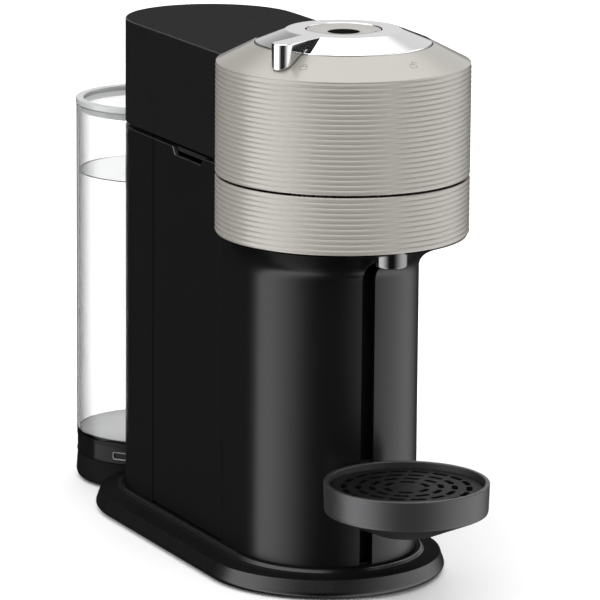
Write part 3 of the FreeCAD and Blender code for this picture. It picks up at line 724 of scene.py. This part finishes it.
def make_rear():
    """The round rear shell and the flat panel on the right."""
    half = BODY_HALF
    y_end = REAR_LOW.y
    outline = arc(0, REAR_Y, half, 0, 180, 96) + [(-half, y_end), (-half + WALL, y_end)]
    outline += list(reversed(arc(0, REAR_Y, half - WALL, 0, 180, 96))) + [(half - WALL, y_end), (half, y_end)]
    shell = prism("rear_shell_black", outline, edge_rows(REAR_LOW.z, REAR_HIGH.z, 0.2, 0.5, 4))
    cut(shell, rod("gland_hole", GLAND_RADIUS, (40, GLAND_Y, GLAND_Z), (1, 0, 0), 20))
    smooth(shell)
    settle(shell, "root", BLACK, "satin_black", "rear_body_shell")
    paint_edge_highlights(shell, REAR_HIGH.z, REAR_HIGH.z)

    y0, y1 = PANEL_LOW.y, PANEL_HIGH.y
    outline = [(half - WALL, y0), (half, y0), (half, y1), (half - WALL, y1)]
    panel = prism("right_panel_black", outline, edge_rows(PANEL_LOW.z, PANEL_HIGH.z, 0.2, 0.5, 4))
    cut(panel, head_cutter())
    settle(panel, "root", BLACK, "satin_black", "right_side_panel")
    paint_edge_highlights(panel, PANEL_HIGH.z, PANEL_HIGH.z)


def make_container():
    """The used-capsule container: a side plate with a finger notch, and the bin behind it."""
    half = BODY_HALF
    y0, y1 = BIN_LOW.y, BIN_HIGH.y
    z0, z1 = BIN_LOW.z, BIN_HIGH.z
    notch_front, notch_rear, notch_slant = -12.5, 29.1, 3.2
    notch_low = z1 - 4.3
    outline = fillet([
        (y0, z0, 0.5), (y1, z0, 0.5), (y1, z1, 0.5), (notch_rear, z1, 0.6),
        (notch_rear - notch_slant, notch_low, 0.6), (notch_front + notch_slant, notch_low, 0.6),
        (notch_front, z1, 0.6), (y0, z1, 0.5),
    ])
    rows = edge_rows(-half, -half + WALL, 0.4, 0.2, 3)
    vertices = []
    for inset, x in rows:
        vertices += [(x, y, z) for y, z in offset(outline, inset)]
    plate = add_mesh("capsule_container_black", vertices, capped_faces(len(rows), len(outline)))
    cut(plate, head_cutter())
    smooth(plate)
    settle(plate, "container", BLACK, "satin_black", "capsule_container")
    paint_edge_highlights(plate, notch_low, z1)
    plate.data.materials.append(DOCK)
    tilt = 0.2                      # the upright bevels stay dull, so that they don't catch the light
    for face in plate.data.polygons:
        if face.material_index == 0 and face.normal.x < -tilt and abs(face.normal.y) > tilt:
            face.material_index = 2

    floor, top = 17.0, 196.0
    wall = 2.0
    left, right = -half + WALL + 0.05, 42.0
    front, rear = y0 + 0.8, y1 - 0.8
    outline = fillet([(left, front, 2), (right, front, 3), (right, rear, 3), (left, rear, 2)])
    rows = [(wall + 1.5, floor + 2.0), (wall + 0.4, floor + 2.4), (wall, floor + 3.5), (wall, top - 0.4)]
    rows += [(wall - 0.4, top), (0.4, top), (0, top - 0.4)]
    rows += [(0, floor + 1.5), (0.5, floor + 0.4), (1.6, floor)]
    settle(prism("capsule_bin_black", outline, rows), "container", DULL, "satin_black")


# ---------------------------------------------------------------- base and dock
def sweep(name, profile, y_front, y_rear):
    """Carry a closed (r, z) outline round a slot shape."""
    path = stadium_path(y_front, y_rear)
    return add_mesh(name, stadium_rows(profile, path), grid_faces(len(profile), len(path), closed=True))


def make_base():
    """The base plate with its sloped lip; its top is dull, its edges have the base's own gloss."""
    radius = BASE_HIGH.x
    profile = fillet([
        (30.0, 9.2), (64.6, 8.6, 0.5), (65.8, BASE_LOW.z, 0.2), (68.0, BASE_LOW.z, 0.8), (radius, 3.4, 2.4),
        (67.2, 11.4, 0.45), (59.5, 11.9, 3.0), (30.0, 11.9),
    ])
    plate = sweep("base_plate_black", profile, BASE_FRONT_Y, BASE_REAR_Y)
    lip = fillet([
        (40.0, 10.5), (62.5, 10.5), (62.5, 11.55), (57.4, 12.1, 5.0), (54.4, 15.0, 1.9), (52.1, 15.0, 0.3),
        (51.8, 13.6), (40.0, 13.6),
    ])
    lip = sweep("lip", lip, COLUMN_Y, REAR_Y)
    join(plate, lip)
    smooth(plate, 40)
    settle(plate, "root", BASE, "satin_black", "base_plate")
    plate.data.materials.append(DOCK)
    flat, sloped = 0.93, 0.4
    lip_middle = 13.3 * MM
    for face in plate.data.polygons:
        if face.normal.z > flat or (face.normal.z > sloped and face.center.z < lip_middle):
            face.material_index = 1


def hug_outline(radius, gap):
    """A circle behind the body, hollowed at the front to follow the body's rear."""
    hug = BODY_HALF + gap
    span = TANK_Y - REAR_Y
    along = (span ** 2 + hug ** 2 - radius ** 2) / (2 * span)
    across = math.sqrt(hug ** 2 - along ** 2)
    turn_tank = math.degrees(math.atan2(REAR_Y + along - TANK_Y, across))
    turn_body = math.degrees(math.atan2(along, across))
    outer = arc(0, TANK_Y, radius, turn_tank, 180 - turn_tank, 96)
    inner = arc(0, REAR_Y, hug, 180 - turn_body, turn_body, 48)
    return outer + inner[1:-1]


def make_dock():
    """The tank's round dock behind the body, cut to fit round the base plate and its lip."""
    top = DOCK_HIGH.z
    rows = [(1.6, DOCK_LOW.z), (0.4, 1.7), (-0.3, 2.6), (-0.75, 4.2), (-0.6, 8.0), (0.0, top - 0.5)]
    rows += [(0.15, top - 0.15), (0.5, top)]
    dock = prism("tank_dock_black", hug_outline(47.2, 0.4), rows)
    space = [(68.9, 0.4), (70.2, 3.3), (67.4, 11.6), (62.6, 12.0)]
    path = stadium_path(BASE_FRONT_Y, BASE_REAR_Y)
    plate_space = add_mesh("plate_space", stadium_rows(space, path), capped_faces(len(space), len(path)))
    cut(dock, plate_space)
    lip_foot = 57.0
    lip_outline = [(x, y) for x, y, z in stadium_rows([(lip_foot, 0)], stadium_path(COLUMN_Y, REAR_Y))]
    lip_space = prism("lip_space", lip_outline, [(0, 10.0), (0, 13.4), (2.0, 15.3)])
    cut(dock, lip_space)
    cut(dock, post("well", 10.0, TANK_Y + 4, 8, 20, 48))
    smooth(dock)
    settle(dock, "root", DOCK, "satin_black", "tank_dock")


# ---------------------------------------------------------------- tank
def make_tank():
    """The clear tank, with its floor plate, the water in it and the water's surface."""
    outline = hug_outline(TANK_RADIUS, TANK_GAP)
    floor, top = TANK_LOW.z, TANK_HIGH.z
    wall = TANK_WALL
    rows = [(0.8, floor), (0.2, floor + 0.2), (0, floor + 0.8), (0, top - 0.5), (0.15, top - 0.1), (0.5, top)]
    rows += [(wall - 0.4, top), (wall, top - 0.4), (wall, floor + 2.4), (wall + 0.5, floor + 1.3)]
    rows += [(wall + 1.6, floor + 0.9)]
    settle(prism("tank_shell_clear", outline, rows), "tank", CLEAR, "clear_tank", "tank_shell")

    film = 0.15                     # room between the wall and what stands in the tank
    inside = hug_outline(TANK_RADIUS - wall - film, TANK_GAP + wall + film)
    rows = [(2.0, floor + 1.0), (1.8, floor + 1.1), (1.8, floor + 1.5), (2.0, floor + 1.6)]
    settle(prism("tank_floor_plate", inside, rows), "tank", FLOOR_PLATE, "white_plastic")
    level = WATER_LEVEL
    rows = [(1.6, floor + 1.7), (0.6, floor + 1.9), (0.1, floor + 2.8), (0, level - 0.8)]
    settle(prism("tank_water", inside, rows), "tank", WATER, "clear_tank")
    # This thin surface piece carries the painted grey reflection of the water's surface.
    rows = [(0, level - 0.6), (-0.1, level), (0.6, level - 0.2), (2.0, level - 0.25)]
    settle(prism("water_surface", inside, rows), "tank", SURFACE, "clear_tank")


def rounded_box(name, centre, half, radius, turn, depth):
    """A box with round corners that points outwards at a turn from the front, across (x, z)."""
    width, height = half
    outline = rectangle(width, -height, height, radius)
    vertices = []
    for reach in depth:
        for across, up in outline:
            x = reach * math.sin(turn) + across * math.cos(turn)
            y = -reach * math.cos(turn) + across * math.sin(turn)
            vertices.append((x + centre[0], y + centre[1], up + centre[2]))
    return add_mesh(name, vertices, capped_faces(2, len(outline)))


def make_tank_ring():
    """The dark ring round the tank's foot, with two beads and a grey latch frame on either side."""
    floor, top = TRIM_LOW.z, TRIM_HIGH.z
    inset = 0.35
    rows = [(2.5, floor), (0.3, floor), (0, floor + 0.25), (0, floor + 0.55), (inset, floor + 0.9)]
    for bead in (top - 2.4, top - 1.2):
        rows += [(inset, bead - 0.25), (0.05, bead), (0.05, bead + 0.45), (inset, bead + 0.75)]
    rows += [(0.6, top - 0.05), (2.0, top - 0.05)]
    ring = prism("tank_base_trim", hug_outline(TANK_RADIUS, TANK_GAP), rows)
    place = (0, TANK_Y, WINDOW_Z)
    outside = TANK_RADIUS
    for name, side in (("latch_left", -1), ("latch_right", 1)):
        turn = side * WINDOW_TURN
        recess = rounded_box("recess", place, (4.7, 2.4), 1.0, turn, (outside - 1.4, outside + 2))
        cut(ring, recess)
        latch = rounded_box(name, place, (4.6, 2.3), 0.9, turn, (outside - 1.3, outside - 0.25))
        window = rounded_box("window", place, (4.1, 1.8), 0.6, turn, (outside - 3.0, outside + 2))
        settle(cut(latch, window), "tank", LATCH, "smoke_plastic")
    smooth(ring)
    settle(ring, "tank", SMOKE, "smoke_plastic", "tank_base_ring")


def make_tank_lid():
    """The lid's frosted rim, a hoop that hooks over the tank, and the clear plate inside it."""
    outline = hug_outline(CAP_HIGH.x, TANK_GAP)
    low, high = CAP_LOW.z, CAP_HIGH.z
    rim_low = TANK_HIGH.z + 0.4
    rim = 4.9
    rows = [(rim - 0.5, rim_low), (rim - 0.5, low + 0.3), (rim - 0.8, low), (3.2, low), (2.9, low + 0.3)]
    rows += [(2.9, rim_low), (0.3, rim_low), (0, rim_low + 0.3), (0, high - 0.6), (0.2, high - 0.2)]
    rows += [(0.6, high), (rim - 0.6, high), (rim - 0.2, high - 0.2), (rim, high - 0.6), (rim, rim_low + 0.3)]
    ring = prism("tank_lid_rim", outline, rows, hoop=True)
    settle(ring, "tank_cap", RIM, "clear_lid", "tank_lid")
    edge = rim + 0.05
    rows = [(rim + 0.3, rim_low + 0.1), (edge, rim_low + 0.6), (edge, high - 1.9), (rim + 0.5, high - 1.6)]
    settle(prism("tank_lid_centre", outline, rows), "tank_cap", FROST, "clear_lid")


# ---------------------------------------------------------------- coffee outlet, cup support and grid
def make_outlet():
    """The chrome tube that the coffee comes out of."""
    low, high = SPOUT_LOW.z, SPOUT_HIGH.z
    inner, outer = SPOUT_WALL_RADIUS, SPOUT_HIGH.x
    profile = fillet([
        (inner, high), (inner, low + 1.0, 0.4), (5.4, low, 0.3), (outer, low, 1.2), (outer, high, 0.1),
    ])
    spout = lathe("coffee_outlet_tube", profile, SPOUT_Y, 96)
    settle(spout, "root", SPOUT, "dark_chrome", "coffee_outlet")


def make_cup_support():
    """The dish that holds the grid, its arm, and the hook that runs in the column's slot."""
    under = 46.8
    profile = fillet([
        (0.6, under), (17.4, under, 5.0), (43.6, 58.2, 0.8), (44.9, 58.9, 0.5), (45.2, 60.4, 0.5),
        (CUP_RADIUS, CUP_RIM, 0.7), (CUP_RADIUS - 2.6, CUP_RIM, 0.6), (CUP_RADIUS - 3.2, 62.0, 3.0),
        (18.0, 52.5, 6.0), (0.6, 51.5),
    ], closed=False)
    dish = lathe("cup_support_dish", profile, CUP_Y, 192, closed=False)
    arm = block("cup_support_arm", -16.0, 16.0, -146.0, -119.0, 50.0, 68.0)
    cut(arm, post("column_clear", BODY_HALF + 0.5, COLUMN_Y, 40, 50))
    cut(arm, post("dish_clear", CUP_RADIUS - 2.0, CUP_Y, 40, 50))
    settle(dish, "support", METALLIC, "anthracite", "cup_support")
    settle(arm, "support", METALLIC, "anthracite")
    hook = block("cup_support_hook", -3.2, 3.2, -123.5, -115.0, 50.4, 67.6)
    join(hook, block("plate", -10.8, 10.8, -115.6, -113.0, CUP_LOW.z, 74.0))
    settle(hook, "support", METALLIC, "anthracite")


def oval_hole(radius, turn, length, width):
    """Outline of a hole bent along its circle, with round ends."""
    span = math.degrees(length / radius / 2)
    low = math.degrees(turn) - span
    high = math.degrees(turn) + span
    outline = arc(0, 0, radius + width, low, high, 6)
    end = (radius * math.cos(math.radians(high)), radius * math.sin(math.radians(high)))
    outline += arc(*end, width, high, high + 180, 6)[1:-1]
    outline += arc(0, 0, radius - width, high, low, 6)
    end = (radius * math.cos(math.radians(low)), radius * math.sin(math.radians(low)))
    outline += arc(*end, width, low + 180, low + 360, 6)[1:-1]
    return [(x, y + CUP_Y) for x, y in outline]


def make_grid():
    """The drip grid, with rings of oval holes that are cut in one go."""
    thickness = 2.2
    hole_width = 1.7
    rings = ((11.5, 6, 5.0), (19.0, 10, 5.5), (26.5, 14, 6.0), (34.5, 18, 6.5))
    outline = arc(0, CUP_Y, GRID_HIGH.x, 0, 360, 160)[:-1]
    grid = prism("drip_grid_black", outline, edge_rows(GRID_HIGH.z - thickness, GRID_HIGH.z, 0.2, 0.5, 3))
    vertices = []
    faces = []
    for ring, (radius, count, length) in enumerate(rings):
        for index in range(count):
            turn = 2 * math.pi * (index + 0.5 * (ring % 2)) / count
            hole = oval_hole(radius, turn, length, hole_width)
            start = len(vertices)
            vertices += [(x, y, z) for z in (GRID_HIGH.z - 7, GRID_HIGH.z + 6) for x, y in hole]
            faces += [tuple(start + i for i in face) for face in capped_faces(2, len(hole))]
    cut(grid, add_mesh("holes", vertices, faces))
    smooth(grid)
    settle(grid, "grid", GRID, "black_plastic", "drip_grid")


# ---------------------------------------------------------------- CAD nodes that stay as they are
KEPT = {
    "underside_cover": DULL, "rubber_feet": RUBBER, "underside_screws": STEEL, "slot_rail": GRID,
    "chassis": DULL, "cord_gland": RUBBER, "top_deck": DULL, "lid_hinge_pin": STEEL,
    "coffee_collector": DULL, "head_deck": GRID, "spin_motor": STEEL, "shaft_bearing": STEEL,
    "water_pump": GREY, "pump_mounts": RUBBER, "water_heater": CAST, "flow_meter": WHITE,
    "control_board": GREEN, "water_hoses": HOSE, "dock_foot": RUBBER, "tank_valve_seat": DULL,
    "lid_frame": GRID, "lid_seal": GRID, "button_housing": DULL, "brew_switch": WHITE,
    "extraction_plate": STEEL, "lock_ring": STEEL, "tank_valve": WHITE, "capsule_holder": STEEL,
}


def finish_nodes():
    """Give each kept CAD node its material."""
    for node, material in KEPT.items():
        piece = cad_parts[node]
        piece.data.materials.clear()
        piece.data.materials.append(material)


# ---------------------------------------------------------------- stage
class Dome:
    """A white studio dome whose brightness depends on the direction."""

    def __init__(self):
        world = bpy.data.worlds.new("studio")
        world.use_nodes = True
        bpy.context.scene.world = world
        self.tree = world.node_tree
        self.background = self.tree.nodes["Background"]
        self.background.inputs["Color"].default_value = (1, 1, 1, 1)
        direction = self.tree.nodes.new("ShaderNodeTexCoord").outputs["Generated"]
        split = self.tree.nodes.new("ShaderNodeSeparateXYZ")
        self.tree.links.new(direction, split.inputs[0])
        left = self.math("MULTIPLY", split.outputs["X"], -1.0)
        front = self.math("MULTIPLY", split.outputs["Y"], -1.0)
        self.azimuth = self.math("MULTIPLY", self.math("ARCTAN2", left, front), 180 / math.pi)
        self.height = split.outputs["Z"]

    def math(self, operation, first, second):
        node = self.tree.nodes.new("ShaderNodeMath")
        node.operation = operation
        for socket, value in zip(node.inputs, (first, second)):
            if isinstance(value, float):
                socket.default_value = value
            else:
                self.tree.links.new(value, socket)
        return node.outputs[0]

    def step(self, source, start, end, low=0.0, high=1.0):
        """A smooth change from low to high while the source goes from start to end."""
        node = self.tree.nodes.new("ShaderNodeMapRange")
        node.interpolation_type = "SMOOTHSTEP"
        node.inputs["From Min"].default_value = start
        node.inputs["From Max"].default_value = end
        node.inputs["To Min"].default_value = low
        node.inputs["To Max"].default_value = high
        self.tree.links.new(source, node.inputs["Value"])
        return node.outputs["Result"]

    def panel(self, near, near_soft, far, far_soft, strength):
        """An upright light between two azimuths, from the front towards the left, in degrees."""
        rise = self.step(self.azimuth, near, near + near_soft)
        fall = self.step(self.azimuth, far - far_soft, far, strength, 0.0)
        return self.math("MULTIPLY", rise, fall)

    def shine(self, brightness):
        self.tree.links.new(brightness, self.background.inputs["Strength"])


def sine(degrees):
    return math.sin(math.radians(degrees))


def make_dome():
    """Upright lights round the machine and one overhead, over a weak light from everywhere."""
    dome = Dome()
    weakest = 0.025
    strongest = 2.2
    left = dome.panel(near=40.0, near_soft=60.0, far=127.5, far_soft=3.0, strength=2.6)
    right = dome.panel(near=-128.0, near_soft=46.0, far=14.0, far_soft=78.0, strength=1.9)
    right = dome.math("MULTIPLY", right, dome.step(dome.height, sine(18), sine(30), 1.0, 0.0))
    behind = dome.panel(near=-180.0, near_soft=24.0, far=-112.0, far_soft=15.0, strength=0.75)
    behind = dome.math("MULTIPLY", behind, dome.step(dome.height, sine(2), sine(8)))
    around = dome.math("ADD", dome.math("ADD", dome.math("ADD", left, right), behind), weakest)

    # The overhead light starts higher at the right, where a screen shades it, and behind the machine.
    screen = dome.panel(near=-105.0, near_soft=6.0, far=-30.0, far_soft=6.0, strength=1.0)
    screen = dome.math("MULTIPLY", screen, dome.step(dome.height, sine(52), sine(64), 1.0, 0.0))
    overhead = dome.step(dome.height, sine(22), sine(42))
    rear = dome.step(dome.math("ABSOLUTE", dome.azimuth, 0.0), 118.0, 136.0)
    late = dome.step(dome.height, sine(30), sine(54))
    change = dome.math("MULTIPLY", rear, dome.math("SUBTRACT", late, overhead))
    overhead = dome.math("ADD", overhead, change)
    overhead = dome.math("MULTIPLY", overhead, dome.math("SUBTRACT", 1.0, screen))
    low = dome.math("MULTIPLY", around, dome.math("SUBTRACT", 1.0, overhead))
    dome.shine(dome.math("ADD", low, dome.math("MULTIPLY", overhead, strongest)))


def make_stage():
    """A pale paper floor under the studio dome."""
    mesh = bpy.data.meshes.new("floor")
    reach = 14.0
    corners = [(-reach, -reach, 0), (reach, -reach, 0), (reach, reach, 0), (-reach, reach, 0)]
    mesh.from_pydata(corners, [], [(0, 1, 2, 3)])
    floor = bpy.data.objects.new("floor", mesh)
    bpy.context.scene.collection.objects.link(floor)
    floor.location.z = -0.0002
    floor.visible_glossy = False
    paper = Shader("paper", IOR=1.3, Roughness=0.9)
    paper.tint(paper.noise(3.0), (0.93, 0.93, 0.93), (0.95, 0.95, 0.95))
    mesh.materials.append(paper.material)
    make_dome()


def make_camera():
    """A long lens at the front left, a little above the machine."""
    yaw = math.radians(26.087)
    pitch = math.radians(12.496)
    roll = 0.008
    place = Vector((-1.1518, -2.3002 + HEAD_Y * MM, 0.7303))
    level = math.cos(pitch)
    forward = Vector((math.sin(yaw) * level, math.cos(yaw) * level, -math.sin(pitch)))
    right = Vector((math.cos(yaw), -math.sin(yaw), 0))
    up = right.cross(forward)
    turned_right = math.cos(roll) * right + math.sin(roll) * up
    turned_up = -math.sin(roll) * right + math.cos(roll) * up
    rotation = Matrix((turned_right, turned_up, -forward)).transposed().to_4x4()
    data = bpy.data.cameras.new("camera")
    data.sensor_width = 36.0
    data.lens = 282.6
    data.clip_end = 100
    camera = bpy.data.objects.new("camera", data)
    camera.matrix_world = Matrix.Translation(place) @ rotation
    bpy.context.scene.collection.objects.link(camera)
    bpy.context.scene.camera = camera


make_rings()
make_icons()
make_knob()
make_button()
make_cover()
make_column()
make_rear()
make_container()
make_base()
make_dock()
make_tank()
make_tank_ring()
make_tank_lid()
make_outlet()
make_cup_support()
make_grid()
finish_nodes()
make_stage()
make_camera()
bpy.context.scene.view_settings.view_transform = "Standard"
